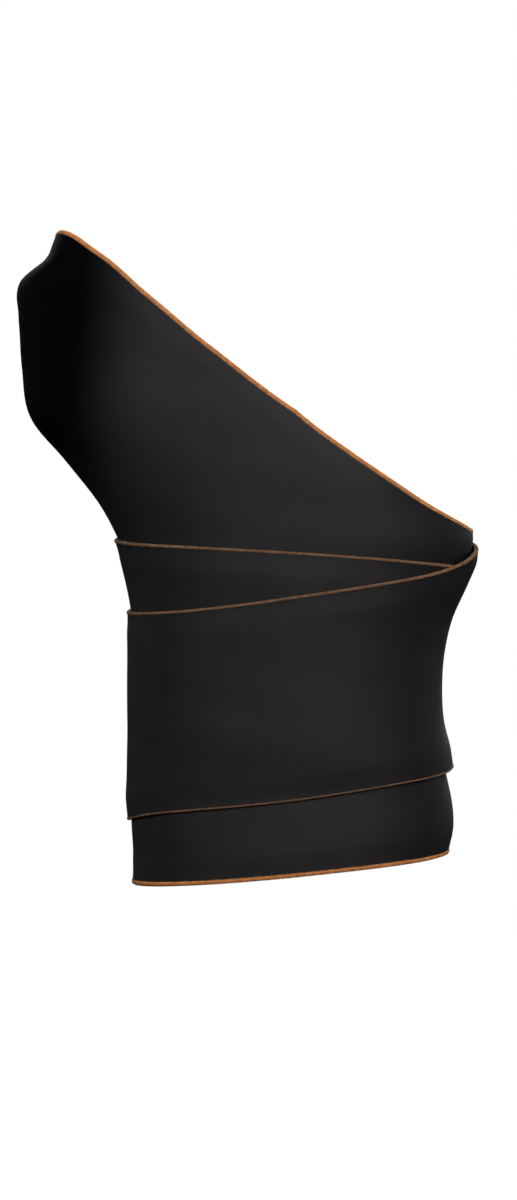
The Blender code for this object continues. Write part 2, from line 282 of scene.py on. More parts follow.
# %% [markdown]
# Materials come before the pieces, so that each piece can take one as it is made. All of them are node
# trees on the Principled shader. One function turns a hex colour, as a colour picker shows it, into the
# linear values that Blender works with, and one adds a node with its settings and links.

# %% Colour and node helpers
def colour(hex_value):
    """An sRGB hex colour as linear RGBA."""
    channels = [int(hex_value[i : i + 2], 16) / 255 for i in (1, 3, 5)]
    return [c / 12.92 if c <= 0.04045 else ((c + 0.055) / 1.055) ** 2.4 for c in channels] + [1.0]


def add_node(tree, kind, links=(), values=(), **settings):
    """Adds a node: settings are its own, links join its inputs to sockets, and values fill them."""
    node = tree.nodes.new(kind)
    for name, setting in settings.items():
        setattr(node, name, setting)
    for name, socket in dict(links).items():
        tree.links.new(socket, node.inputs[name])
    for name, value in dict(values).items():
        node.inputs[name].default_value = value
    return node


print("black of the cloth, linear:", [round(c, 4) for c in colour("#1b1919")[:3]])

# %% [markdown]
# The cloth is a fine nylon and elastane jersey, dyed black. Nylon yarn is smooth, so the cloth carries a
# broad, soft band of light down its front. Towards the far left it goes to full black. That is painted
# shade: a gradient across the piece, which leans a little with height, dims the colour and the gloss
# alike. Jersey shows columns of small V-shaped stitches. The real columns are about 0.35 mm apart, too
# fine for a picture of this size, so they are drawn half as wide again.

# %% Knitted cloth
WALE_WIDTH, COURSE_HEIGHT, LEG_SLANT = 0.0005, 0.0004, 1.6
JERSEY_GLOSS = 0.24
# The painted shade runs along X plus PAINTED_SHADE_LEAN times Z, and leaves PAINTED_SHADE_DARKEST
# of the colour and gloss at its dark end.
PAINTED_SHADE_DARK_END, PAINTED_SHADE_CLEAR_END, PAINTED_SHADE_LEAN, PAINTED_SHADE_DARKEST = -0.0521, -0.0351, -0.15, 0.10


def knitted_jersey():
    """Black nylon and elastane jersey: knitted in V-shaped loops, matte, a little paler where rubbed."""
    material = bpy.data.materials.new("black nylon elastane jersey")
    material.use_nodes = True
    tree = material.node_tree
    shader = tree.nodes["Principled BSDF"]
    shader.inputs["Roughness"].default_value = 0.6
    shader.inputs["Specular IOR Level"].default_value = JERSEY_GLOSS
    uv = add_node(tree, "ShaderNodeUVMap", uv_map="cloth")
    split = add_node(tree, "ShaderNodeSeparateXYZ", {"Vector": uv.outputs["UV"]})
    wale = add_node(tree, "ShaderNodeMath", {0: split.outputs["X"]}, {1: WALE_WIDTH}, operation="DIVIDE")
    course = add_node(
        tree, "ShaderNodeMath", {0: split.outputs["Y"]}, {1: COURSE_HEIGHT}, operation="DIVIDE"
    )
    leg = add_node(tree, "ShaderNodeMath", {0: wale.outputs[0]}, {1: 0.5}, operation="PINGPONG")
    slanted = add_node(
        tree, "ShaderNodeMath", {0: leg.outputs[0], 2: course.outputs[0]}, {1: LEG_SLANT},
        operation="MULTIPLY_ADD",
    )
    loop = add_node(tree, "ShaderNodeMath", {0: slanted.outputs[0]}, {1: 2 * math.pi}, operation="MULTIPLY")
    loop_wave = add_node(tree, "ShaderNodeMath", {0: loop.outputs[0]}, operation="SINE")
    groove = add_node(tree, "ShaderNodeMath", {0: wale.outputs[0]}, {1: 2 * math.pi}, operation="MULTIPLY")
    groove_wave = add_node(tree, "ShaderNodeMath", {0: groove.outputs[0]}, operation="COSINE")
    relief = add_node(
        tree, "ShaderNodeMath", {0: groove_wave.outputs[0], 2: loop_wave.outputs[0]}, {1: -0.5},
        operation="MULTIPLY_ADD",
    )
    bump = add_node(
        tree, "ShaderNodeBump", {"Height": relief.outputs[0]}, {"Strength": 0.15, "Distance": 0.00004}
    )
    place = add_node(tree, "ShaderNodeTexCoord")
    mottle = add_node(
        tree, "ShaderNodeTexNoise", {"Vector": place.outputs["Object"]}, {"Scale": 60.0, "Detail": 3.0}
    )
    shade = add_node(tree, "ShaderNodeValToRGB", {"Fac": mottle.outputs["Fac"]})
    shade.color_ramp.elements[0].position, shade.color_ramp.elements[1].position = 0.3, 0.7
    shade.color_ramp.elements[0].color = colour("#1b1819")
    shade.color_ramp.elements[1].color = colour("#201d1e")
    # Painted shade: the colour and the gloss are dimmed towards the far left, in place of the shade there.
    axes = add_node(tree, "ShaderNodeSeparateXYZ", {"Vector": place.outputs["Object"]})
    painted_shade_axis = add_node(
        tree, "ShaderNodeMath", {0: axes.outputs["Z"], 2: axes.outputs["X"]}, {1: PAINTED_SHADE_LEAN},
        operation="MULTIPLY_ADD",
    )
    painted_shade = add_node(
        tree, "ShaderNodeMapRange", {"Value": painted_shade_axis.outputs[0]},
        {"From Min": PAINTED_SHADE_DARK_END, "From Max": PAINTED_SHADE_CLEAR_END, "To Min": PAINTED_SHADE_DARKEST, "To Max": 1.0},
        interpolation_type="SMOOTHSTEP",
    )
    colour_in_painted_shade = add_node(
        tree, "ShaderNodeVectorMath", {0: shade.outputs["Color"], "Scale": painted_shade.outputs["Result"]},
        operation="SCALE",
    )
    gloss = add_node(
        tree, "ShaderNodeMath", {0: painted_shade.outputs["Result"]}, {1: JERSEY_GLOSS}, operation="MULTIPLY"
    )
    tree.links.new(gloss.outputs[0], shader.inputs["Specular IOR Level"])
    tree.links.new(colour_in_painted_shade.outputs["Vector"], shader.inputs["Base Color"])
    tree.links.new(bump.outputs["Normal"], shader.inputs["Normal"])
    return material


JERSEY = knitted_jersey()
print("material:", JERSEY.name)

# %% [markdown]
# The edging thread is spun polyester, dyed orange before it was wound. Its fibres lie along the thread,
# so it is matte with a little gloss, and it is darker between the threads. The strap's edges carry the
# same thread, given as a darker, browner copy of it: painted shade, for thread that sits among the
# layers of cloth. The seams are sewn in black.

# %% Threads
def spun_thread(name, pale, dark, roughness):
    """Spun polyester sewing thread: dyed through, matte, uneven by a few hundredths of its length."""
    material = bpy.data.materials.new(name)
    material.use_nodes = True
    tree = material.node_tree
    shader = tree.nodes["Principled BSDF"]
    shader.inputs["Roughness"].default_value = roughness
    shader.inputs["Specular IOR Level"].default_value = 0.3
    shader.inputs["Sheen Weight"].default_value = 0.1
    place = add_node(tree, "ShaderNodeTexCoord")
    uneven = add_node(
        tree, "ShaderNodeTexNoise", {"Vector": place.outputs["Object"]}, {"Scale": 900.0, "Detail": 2.0}
    )
    shade = add_node(tree, "ShaderNodeValToRGB", {"Fac": uneven.outputs["Fac"]})
    shade.color_ramp.elements[0].position, shade.color_ramp.elements[1].position = 0.35, 0.65
    shade.color_ramp.elements[0].color = colour(dark)
    shade.color_ramp.elements[1].color = colour(pale)
    fibres = add_node(
        tree, "ShaderNodeBump", {"Height": uneven.outputs["Fac"]}, {"Strength": 0.3, "Distance": 0.00005}
    )
    tree.links.new(shade.outputs["Color"], shader.inputs["Base Color"])
    tree.links.new(fibres.outputs["Normal"], shader.inputs["Normal"])
    return material


ORANGE_THREAD = spun_thread("orange polyester thread", "#d68e4d", "#bf783b", 0.6)
# Painted shade: the strap's edging is the same orange thread, darkened to a browner copy.
PAINTED_SHADE_ORANGE_THREAD = spun_thread("orange thread in painted shade", "#8a6244", "#6e4c34", 0.7)
BLACK_THREAD = spun_thread("black polyester thread", "#262424", "#171616", 0.6)
print("threads:", ORANGE_THREAD.name, PAINTED_SHADE_ORANGE_THREAD.name, BLACK_THREAD.name)

# %% [markdown]
# The closing tab is nylon hook tape. Its hooks point inwards, and what shows is the back of the woven
# ribbon that they grow from: crossing yarns 0.6 mm apart, a little shinier than the knitted cloth.

# %% Hook tape
RIBBON_YARN = 0.0006


def hook_tape_back():
    """Black woven nylon ribbon: a plain weave, coated on its back, so a little glossy."""
    material = bpy.data.materials.new("black nylon hook tape")
    material.use_nodes = True
    tree = material.node_tree
    shader = tree.nodes["Principled BSDF"]
    shader.inputs["Roughness"].default_value = 0.55
    shader.inputs["Specular IOR Level"].default_value = 0.35
    uv = add_node(tree, "ShaderNodeUVMap", uv_map="cloth")
    split = add_node(tree, "ShaderNodeSeparateXYZ", {"Vector": uv.outputs["UV"]})
    waves = []
    for axis in ("X", "Y"):
        phase = add_node(
            tree, "ShaderNodeMath", {0: split.outputs[axis]}, {1: math.pi / RIBBON_YARN},
            operation="MULTIPLY",
        )
        waves.append(add_node(tree, "ShaderNodeMath", {0: phase.outputs[0]}, operation="SINE").outputs[0])
    weave = add_node(tree, "ShaderNodeMath", {0: waves[0], 1: waves[1]}, operation="MULTIPLY")
    bump = add_node(
        tree, "ShaderNodeBump", {"Height": weave.outputs[0]}, {"Strength": 0.5, "Distance": 0.0001}
    )
    shade = add_node(tree, "ShaderNodeValToRGB", {"Fac": weave.outputs[0]})
    shade.color_ramp.elements[0].color = colour("#1a1a1a")
    shade.color_ramp.elements[1].color = colour("#262626")
    tree.links.new(shade.outputs["Color"], shader.inputs["Base Color"])
    tree.links.new(bump.outputs["Normal"], shader.inputs["Normal"])
    return material


HOOK_TAPE = hook_tape_back()
print("material:", HOOK_TAPE.name)

# %% [markdown]
# All the cloth is made the same way: a fine grid of points on the form, joined by four-sided faces, then
# given its thickness outwards. A Solidify modifier makes the second face and the cut edge, thinner
# towards the edge, where the overcasting presses the cloth, and a small Bevel rounds it. The modifiers
# are turned into plain mesh at once. The UV map is in metres, so the knit has its real size.

# %% Cloth from a grid of places
def plain_mesh(piece):
    """Turns what the modifiers make into the piece's own mesh, and removes them."""
    evaluated = piece.evaluated_get(bpy.context.evaluated_depsgraph_get())
    mesh = bpy.data.meshes.new_from_object(evaluated)
    piece.modifiers.clear()
    piece.data = mesh
    mesh.name = piece.name
    return piece


BEVEL_SHARE, BEVEL_ANGLE = 0.2, math.radians(50)


def laid_cloth(
    name, turns, heights, lifts, unrolled, thickness, fullness, material, closed=False, opened=None
):
    """Cloth through a grid of places, by columns. Fullness is its share of the thickness at each place."""
    columns, rows = turns.shape[0] - 1, turns.shape[1] - 1
    points = on_form(turns, heights, lifts)
    kept = columns if closed else columns + 1
    c, r = (a.ravel() for a in np.meshgrid(np.arange(columns), np.arange(rows), indexing="ij"))
    if opened is not None:
        stay = ~opened[c, r]
        c, r = c[stay], r[stay]
    corner_column = np.stack([c, c + 1, c + 1, c], axis=1)
    corner_row = np.stack([r, r, r + 1, r + 1], axis=1)
    index = (corner_column % kept) * (rows + 1) + corner_row
    used, index = np.unique(index, return_inverse=True)
    mesh = bpy.data.meshes.new(name)
    mesh.from_pydata(points[:kept].reshape(-1, 3)[used].tolist(), [], index.reshape(-1, 4).tolist())
    uv = mesh.uv_layers.new(name="cloth")
    flat = unrolled[corner_column.ravel(), corner_row.ravel()]
    uv.data.foreach_set("uv", flat.astype(np.float32).ravel())
    mesh.shade_smooth()
    mesh.materials.append(material)
    piece = bpy.data.objects.new(name, mesh)
    bpy.context.scene.collection.objects.link(piece)
    group = piece.vertex_groups.new(name="fullness")
    for number, share in enumerate(fullness[:kept].ravel()[used]):
        group.add([number], float(share), "REPLACE")
    thicken = piece.modifiers.new("thickness", "SOLIDIFY")
    thicken.thickness, thicken.offset, thicken.use_even_offset = thickness, 1, True
    thicken.vertex_group = group.name
    round_off = piece.modifiers.new("rounded edge", "BEVEL")
    round_off.width, round_off.segments = BEVEL_SHARE * thickness, 2
    round_off.limit_method, round_off.angle_limit = "ANGLE", BEVEL_ANGLE
    return plain_mesh(piece)


PRESSED_SHARE, PRESSED_WIDTH = 0.65, 0.005


def pressed(from_edge):
    """The share of its thickness that cloth keeps at this distance from an overcast edge."""
    return PRESSED_SHARE + (1 - PRESSED_SHARE) * eased(from_edge / PRESSED_WIDTH)


EDGE_THICKNESS = PRESSED_SHARE * CLOTH_THICKNESS
print("cloth is", CLOTH_THICKNESS * 1000, "mm thick, and", EDGE_THICKNESS * 1000, "mm at its edges")

# %% [markdown]
# The thumb hole sits in the sleeve's left side. Cutting it out of a finished grid would leave ragged
# cells, so a square block of cells is left out instead, and the cells round it are drawn towards an oval,
# less and less with distance. That gives a smooth edge, and every face keeps four sides.

# %% The sleeve
GRID_COLUMNS, SLEEVE_ROWS, SLEEVE_START_TURN, FINER = 48, 22, 0.5, 5
SLEEVE_ROUND = 0.16
HOLE_TURN, HOLE_WIDTH, HOLE_HEIGHT, WEB_HEIGHT = 0.914, 0.025, 0.029, 0.0065
HOLE_HALF_CELLS, HOLE_REACH_CELLS = 3, 4
HOLE_COLUMN = round((HOLE_TURN - SLEEVE_START_TURN) * GRID_COLUMNS)
HOLE_ROW = SLEEVE_ROWS - 1 - HOLE_HALF_CELLS
BESIDE_TURNS = 0.01


def drawn_round_hole(column, row):
    """Where a place of the sleeve's grid goes, so that the square block left out becomes the oval hole."""
    low, high = lower_edge(HOLE_TURN), upper_edge(HOLE_TURN)
    middle = high - WEB_HEIGHT - HOLE_HEIGHT / 2
    column_shift = (HOLE_TURN - SLEEVE_START_TURN) * GRID_COLUMNS - HOLE_COLUMN
    row_shift = (middle - low) / (high - low) * SLEEVE_ROWS - HOLE_ROW
    beside = form_point(np.array([HOLE_TURN - BESIDE_TURNS, HOLE_TURN + BESIDE_TURNS]), middle)
    cell_width = np.linalg.norm(beside[1] - beside[0]) / (2 * BESIDE_TURNS) / GRID_COLUMNS
    cell_height = (high - low) / SLEEVE_ROWS
    a, b = (column - HOLE_COLUMN) / HOLE_HALF_CELLS, (row - HOLE_ROW) / HOLE_HALF_CELLS
    ring = np.maximum(np.maximum(np.abs(a), np.abs(b)), 0.5)
    a, b = a / ring, b / ring
    oval_column = a * np.sqrt(1 - b**2 / 2) * HOLE_WIDTH / 2 / cell_width
    oval_row = b * np.sqrt(1 - a**2 / 2) * HOLE_HEIGHT / 2 / cell_height
    pull_column = oval_column + column_shift - a * HOLE_HALF_CELLS
    pull_row = oval_row + row_shift - b * HOLE_HALF_CELLS
    hole_top = HOLE_ROW + HOLE_HALF_CELLS
    fading = 1 - eased((ring - 1) * HOLE_HALF_CELLS / HOLE_REACH_CELLS)
    fading = fading * (1 - eased((row - hole_top) / (SLEEVE_ROWS - hole_top)))
    return column + pull_column * fading, row + pull_row * fading


def sleeve_place(column, row):
    """The turn and height of a place of the sleeve's grid."""
    column, row = drawn_round_hole(column, row)
    turn = SLEEVE_START_TURN + column / GRID_COLUMNS
    low, high = lower_edge(turn), upper_edge(turn)
    return turn, low + (high - low) * row / SLEEVE_ROWS


# Two more rows lie at these shares of a cell from each end, where the cut edge is rounded.
near_edge = np.array([0.06, 0.13])
even_rows = np.arange(SLEEVE_ROWS * FINER + 1) / FINER
rows = np.sort(np.concatenate([even_rows, near_edge, SLEEVE_ROWS - near_edge]))
column, row = np.meshgrid(np.arange(GRID_COLUMNS * FINER + 1) / FINER, rows, indexing="ij")
turns, heights = sleeve_place(column, row)
cells_off = np.maximum(np.abs(column - HOLE_COLUMN), np.abs(row - HOLE_ROW))
middle_column, middle_row = (column[:-1, :-1] + column[1:, 1:]) / 2, (row[:-1, :-1] + row[1:, 1:]) / 2
middles_off = np.maximum(np.abs(middle_column - HOLE_COLUMN), np.abs(middle_row - HOLE_ROW))
hole_cells = middles_off < HOLE_HALF_CELLS
from_hole = (cells_off - HOLE_HALF_CELLS) * HOLE_HEIGHT / 2 / HOLE_HALF_CELLS
from_edge = np.minimum(np.minimum(heights - lower_edge(turns), upper_edge(turns) - heights), from_hole)
sleeve = laid_cloth(
    "sleeve_cloth", turns, heights, np.zeros_like(turns),
    np.stack([turns * SLEEVE_ROUND, heights], axis=-1),
    CLOTH_THICKNESS, pressed(from_edge), JERSEY, closed=True, opened=hole_cells,
)
print(sleeve.name, "has", len(sleeve.data.polygons), "faces;", int(hole_cells.sum()), "cells left open")

# %% [markdown]
# The strap is one ribbon, so its grid simply follows its course: along it the turn grows, across it the
# height goes from edge to edge, and the lift says which layer it lies on. Its rows crowd towards both
# edges, where the cloth thins.

# %% The strap
STRAP_POINTS, STRAP_ROWS, CROWDING = 440, 51, 0.6
strap_turns = np.linspace(STRAP_START_TURN, STRAP_END_TURN, STRAP_POINTS)
turns, share = np.meshgrid(strap_turns, np.linspace(0, 1, STRAP_ROWS), indexing="ij")
low, high = strap_edges(turns)
heights = low + (high - low) * (share - CROWDING * np.sin(2 * math.pi * share) / (2 * math.pi))
strap = laid_cloth(
    "strap_cloth", turns, heights, strap_lift(turns, heights), np.stack([turns * waist, heights], axis=-1),
    CLOTH_THICKNESS, pressed(np.minimum(heights - low, high - heights)), JERSEY,
)
print(strap.name, "has", len(strap.data.polygons), "faces")

# %% [markdown]
# The tab continues the strap past its end. It is one piece of ribbon with its two free corners rounded
# off, laid at the strap's own level so that the joining seam lies flat.

# %% The closing tab
TAB_LENGTH, TAB_WIDTH, TAB_THICKNESS, TAB_CORNER = 0.013, 0.032, 0.0012, 0.004
TAB_COLUMNS, TAB_ROWS = 31, 49
TAB_MIDDLE_HEIGHT = float(np.mean(strap_edges(STRAP_END_TURN)))
TAB_GAP, ROUND_AT_TAB = 0.0003, 0.1433
TAB_START_TURN = STRAP_END_TURN + TAB_GAP / ROUND_AT_TAB
TAB_END_TURN = TAB_START_TURN + TAB_LENGTH / ROUND_AT_TAB


def tab_place(along, across):
    """The turn and height of a place on the tab, from the two shares of its length and width."""
    into_corner = np.clip(along * TAB_LENGTH - (TAB_LENGTH - TAB_CORNER), 0, TAB_CORNER)
    drawn_in = TAB_CORNER - np.sqrt(TAB_CORNER**2 - into_corner**2)
    turn = TAB_START_TURN + (TAB_END_TURN - TAB_START_TURN) * along
    return turn, TAB_MIDDLE_HEIGHT + (across - 0.5) * (TAB_WIDTH - 2 * drawn_in)


closer_to_end = np.sin(np.linspace(0, math.pi / 2, TAB_COLUMNS))
along, across = np.meshgrid(closer_to_end, np.linspace(0, 1, TAB_ROWS), indexing="ij")
turns, heights = tab_place(along, across)
tab = laid_cloth(
    "closing_tab_ribbon", turns, heights, strap_lift(turns, heights),
    np.stack([turns * waist, heights], axis=-1), TAB_THICKNESS, np.ones_like(turns), HOOK_TAPE,
)
print(tab.name, "has", len(tab.data.polygons), "faces")

# %% [markdown]
# Every edge and seam is sewn, and a sewn line is one small piece of thread repeated along a path, which
# Geometry Nodes do well. The path is a chain of points, each of which also stores the direction that leads
# out of the cloth. Both kinds of stitch start and end in the same nodes, so these are written once.

# %% What every thread tree shares
def new_tree(name, inputs):
    """A Geometry Nodes tree with these named inputs, and its input and output nodes."""
    tree = bpy.data.node_groups.new(name, "GeometryNodeTree")
    tree.is_modifier = True
    tree.interface.new_socket("Path", in_out="INPUT", socket_type="NodeSocketGeometry")
    for label, kind in inputs:
        tree.interface.new_socket(label, in_out="INPUT", socket_type=kind)
    tree.interface.new_socket("Thread", in_out="OUTPUT", socket_type="NodeSocketGeometry")
    return tree, add_node(tree, "NodeGroupInput"), add_node(tree, "NodeGroupOutput")


def spaced_points(tree, given, along_axis, outwards_axis):
    """Points along the path, and the rotation that lays these two axes along it and out of the cloth."""
    curve = add_node(tree, "GeometryNodeMeshToCurve", {"Mesh": given.outputs["Path"]})
    points = add_node(
        tree, "GeometryNodeCurveToPoints",
        {"Curve": curve.outputs[0], "Length": given.outputs["Spacing"]}, mode="LENGTH",
    )
    outwards = add_node(
        tree, "GeometryNodeInputNamedAttribute", values={"Name": "outwards"}, data_type="FLOAT_VECTOR"
    )
    facing = add_node(
        tree, "FunctionNodeAxesToRotation",
        {"Primary Axis": points.outputs["Tangent"], "Secondary Axis": outwards.outputs["Attribute"]},
        primary_axis=along_axis, secondary_axis=outwards_axis,
    )
    return points, facing


def turned_by(tree, facing, axis, angle):
    """That rotation, turned further about one of its own axes."""
    vector = add_node(tree, "ShaderNodeCombineXYZ", {axis: angle.outputs[0]})
    turn = add_node(tree, "FunctionNodeEulerToRotation", {0: vector.outputs[0]})
    return add_node(
        tree, "FunctionNodeRotateRotation",
        {"Rotation": facing.outputs[0], "Rotate By": turn.outputs[0]}, rotation_space="LOCAL",
    )


def thread_at_points(tree, given, made, points, rotation, line, sides, **ends):
    """Gives the line a thread's thickness and puts it at every point, smooth and in its material."""
    radius = add_node(
        tree, "ShaderNodeMath", {0: given.outputs["Thread diameter"]}, {1: 0.5}, operation="MULTIPLY"
    )
    profile = add_node(
        tree, "GeometryNodeCurvePrimitiveCircle", {"Radius": radius.outputs[0]}, {"Resolution": sides},
        mode="RADIUS",
    )
    thread = add_node(
        tree, "GeometryNodeCurveToMesh",
        {"Curve": line.outputs[0], "Profile Curve": profile.outputs[0]}, **ends,
    )
    placed = add_node(
        tree, "GeometryNodeInstanceOnPoints",
        {"Points": points.outputs[0], "Instance": thread.outputs[0], "Rotation": rotation.outputs[0]},
    )
    real = add_node(tree, "GeometryNodeRealizeInstances", {"Geometry": placed.outputs[0]})
    smooth = add_node(tree, "GeometryNodeSetShadeSmooth", {0: real.outputs[0]})
    coated = add_node(
        tree, "GeometryNodeSetMaterial",
        {"Geometry": smooth.outputs[0], "Material": given.outputs["Material"]},
    )
    tree.links.new(coated.outputs[0], made.inputs["Thread"])


print("node groups before the thread trees:", len(bpy.data.node_groups))

# %% [markdown]
# A cut edge of knit would run, so it is overcast: a machine lays thread over the edge, loop beside loop,
# until the edge is covered. One loop is a circle, scaled to reach across the edge, with a thread's
# thickness. Each leans a little differently, from a fixed seed, because no machine sews quite evenly.

# %% The overcast edge's node tree
UNEVEN_SLANT = 0.06
LOOP_CORNERS, LOOP_THREAD_SIDES = 10, 4


def overcast_tree():
    """Loops of thread round a cut edge, side by side along it."""
    tree, given, made = new_tree(
        "overcast edge",
        [("Spacing", "NodeSocketFloat"), ("Thread diameter", "NodeSocketFloat"),
         ("Loop size", "NodeSocketVector"), ("Slant", "NodeSocketFloat"), ("Seed", "NodeSocketInt"),
         ("Material", "NodeSocketMaterial")],
    )
    points, facing = spaced_points(tree, given, "Z", "X")
    uneven = add_node(
        tree, "FunctionNodeRandomValue", {"Seed": given.outputs["Seed"]},
        {2: -UNEVEN_SLANT, 3: UNEVEN_SLANT}, data_type="FLOAT",
    )
    lean = add_node(
        tree, "ShaderNodeMath", {0: given.outputs["Slant"], 1: uneven.outputs[1]}, operation="ADD"
    )
    slanted = turned_by(tree, facing, "Y", lean)
    ring = add_node(
        tree, "GeometryNodeCurvePrimitiveCircle", values={"Resolution": LOOP_CORNERS, "Radius": 1.0},
        mode="RADIUS",
    )
    loop = add_node(
        tree, "GeometryNodeTransform", {"Geometry": ring.outputs[0], "Scale": given.outputs["Loop size"]}
    )
    thread_at_points(tree, given, made, points, slanted, loop, LOOP_THREAD_SIDES)
    return tree


OVERCAST = overcast_tree()
print(OVERCAST.name, "has", len(OVERCAST.nodes), "nodes")

# %% [markdown]
# The same path function serves every edge: it walks along the edge at the middle of the cloth's thickness
# and finds the direction out of the cloth from the form's normal. The loops are set in from the edge, so
# that they bite into the cloth as a needle does, and they stand a little proud of both faces.

# %% Threads along a path
def thread_path(name, points, outwards, closed):
    """A chain of points with a direction at each, for a thread tree to follow."""
    count = len(points)
    links = [(i, (i + 1) % count) for i in range(count if closed else count - 1)]
    mesh = bpy.data.meshes.new(name)
    mesh.from_pydata(points.tolist(), links, [])
    stored = mesh.attributes.new("outwards", "FLOAT_VECTOR", "POINT")
    stored.data.foreach_set("vector", outwards.astype(np.float32).ravel())
    path = bpy.data.objects.new(name, mesh)
    bpy.context.scene.collection.objects.link(path)
    return path


def sewn(path, tree, **values):
    """Runs a thread tree on a path and keeps what it makes as a plain mesh."""
    modifier = path.modifiers.new(tree.name, "NODES")
    modifier.node_group = tree
    for item in tree.interface.items_tree:
        if item.in_out == "INPUT" and item.name in values:
            modifier[item.identifier] = values[item.name]
    return plain_mesh(path)


def out_of_edge(points, normals, closed, side):
    """The direction in the cloth's plane that leads out over its edge."""
    if closed:
        along = np.roll(points, -1, axis=0) - np.roll(points, 1, axis=0)
    else:
        along = np.gradient(points, axis=0)
    out = side * np.cross(normals, along)
    return out / np.linalg.norm(out, axis=1, keepdims=True)


SLANT, SEED = 0.25, 7


def overcast(name, turns, heights, lifts, side, closed, reach, material, spacing, diameter, set_in):
    """Overcasts one edge: reach is half of what the loops span across it, and set_in how far in they lie."""
    middle = on_form(turns, heights, lifts + EDGE_THICKNESS / 2)
    out = out_of_edge(middle, form_normal(turns, heights), closed, side)
    path = thread_path(name, middle - out * set_in, out, closed)
    size = (reach - diameter / 2, EDGE_THICKNESS / 2, 1.0)
    return sewn(path, OVERCAST, **{
        "Spacing": spacing, "Thread diameter": diameter, "Loop size": size, "Slant": SLANT, "Seed": SEED,
        "Material": material,
    })


least, most = (round(math.degrees(SLANT + more)) for more in (-UNEVEN_SLANT, UNEVEN_SLANT))
print("loops lean by", least, "to", most, "degrees")

# %% [markdown]
# The sleeve's two ends carry the widest edging, a bright orange line about a millimetre wide.

# %% The sleeve's overcast edges
EDGE_POINTS = 600
SLEEVE_THREAD = {"spacing": 0.00028, "diameter": 0.00032, "set_in": 0.0002}
round_turns = np.arange(EDGE_POINTS) / EDGE_POINTS
flat = np.zeros_like(round_turns)
upper_edging, lower_edging = (
    overcast(
        name, round_turns, edge(round_turns), flat, side, closed=True, reach=0.0006, material=ORANGE_THREAD,
        **SLEEVE_THREAD,
    )
    for name, edge, side in (("upper_edging", upper_edge, 1), ("lower_edging", lower_edge, -1))
)
for piece in (upper_edging, lower_edging):
    print(piece.name, "has", len(piece.data.polygons), "faces")

# %% [markdown]
# The strap's two long edges are overcast with a finer thread, in smaller loops, because they show
# narrower in the photograph. Its loops climb with the strap where it passes over its own start.

# %% The strap's overcast edges
STRAP_THREAD = {"spacing": 0.00024, "diameter": 0.00026, "set_in": 0.0001}
low, high = strap_edges(strap_turns)
strap_upper_edging, strap_lower_edging = (
    # The strap's edging takes the darker copy of the orange thread, which is painted shade.
    overcast(
        name, strap_turns, edge, strap_lift(strap_turns, edge), side, closed=False, reach=reach,
        material=PAINTED_SHADE_ORANGE_THREAD, **STRAP_THREAD,
    )
    for name, edge, side, reach in (
        ("strap_upper_edging", high, 1, 0.00035),
        ("strap_lower_edging", low, -1, 0.0003),
    )
)
for piece in (strap_upper_edging, strap_lower_edging):
    print(piece.name, "has", len(piece.data.polygons), "faces")

# %% [markdown]
# The thumb hole's edge shows plain black in the photograph. It is overcast too, but in the cloth's own
# colour.

# %% The thumb hole's overcast edge
POINTS_IN_A_CELL = 12
along_side = np.arange(HOLE_HALF_CELLS * 2 * POINTS_IN_A_CELL) / POINTS_IN_A_CELL - HOLE_HALF_CELLS
side_off = np.full_like(along_side, HOLE_HALF_CELLS)
ring_column = HOLE_COLUMN + np.concatenate([along_side, side_off, -along_side, -side_off])
ring_row = HOLE_ROW + np.concatenate([-side_off, along_side, side_off, -along_side])
turns, heights = sleeve_place(ring_column, ring_row)
thumb_edging = overcast(
    "thumb_hole_edging", turns, heights, np.zeros_like(turns), 1, closed=True, reach=0.0005,
    material=BLACK_THREAD, **SLEEVE_THREAD,
)
print(thumb_edging.name, "has", len(thumb_edging.data.polygons), "faces")

# %% [markdown]
# Two seams are sewn in black with a zigzag, which can stretch with the cloth: one joins the tab to the
# strap's end, and one holds the strap's start to the sleeve. A straight row of lockstitches runs round
# the tab. One tree makes both: a short arched thread at each point, leaning left and right by turns, or
# not at all.

# %% The stitch tree
ARCH_STEPS, STITCH_THREAD_SIDES = 6, 6


